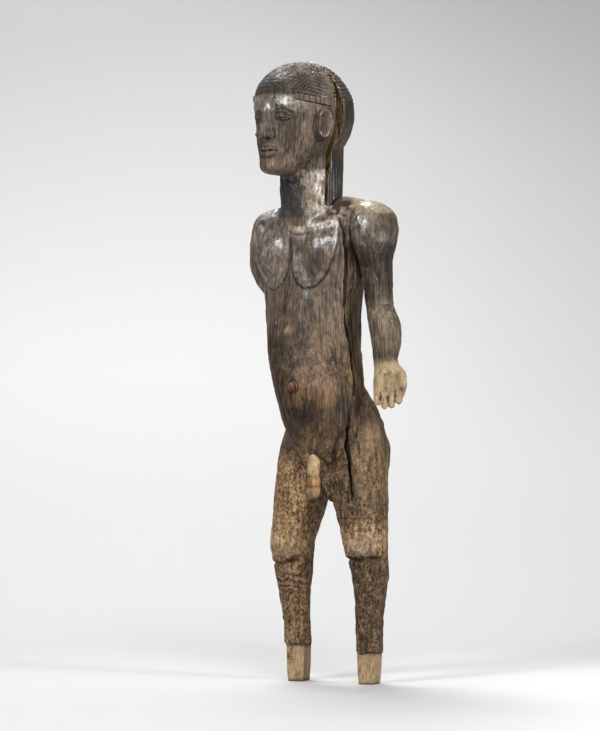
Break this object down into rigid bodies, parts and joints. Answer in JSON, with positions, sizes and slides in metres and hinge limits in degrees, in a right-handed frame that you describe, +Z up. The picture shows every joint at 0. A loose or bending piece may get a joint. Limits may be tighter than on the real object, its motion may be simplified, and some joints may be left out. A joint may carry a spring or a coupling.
{
  "type": "carved ancestor figure",
  "caption": "Standing male ancestor figure carved from one log, with a let-in arm, a detached slab behind the head, temple bars and paler blocks let into the leg ends.",
  "frame": {"origin": "on the ground, at the middle of the whole figure's bounding box", "axes": "+Z up; the figure faces -Y; its left side is +X"},
  "size_m": [0.3176, 0.1979, 1.0502],
  "materials": {
    "patinated_wood": "dark, rubbed, part glossy patina",
    "bare_wood": "dry, pale, worn",
    "navel_wood": "satin, reddish",
    "sleeve_brass": "machined"
  },
  "bodies": {
    "root": {"trunk": "patinated_wood", "head_back_slab": "patinated_wood", "left_arm": "patinated_wood", "left_arm_dowel": "bare_wood", "right_arm_dowel_stub": "bare_wood", "upper_slab_dowel": "bare_wood", "lower_slab_dowel": "bare_wood", "left_temple_bar": "patinated_wood", "right_temple_bar": "patinated_wood", "navel_knob": "navel_wood", "phallus": "bare_wood", "left_leg_plug": "bare_wood", "right_leg_plug": "bare_wood", "left_mount_sleeve": "sleeve_brass", "right_mount_sleeve": "sleeve_brass"}
  },
  "joints": []
}
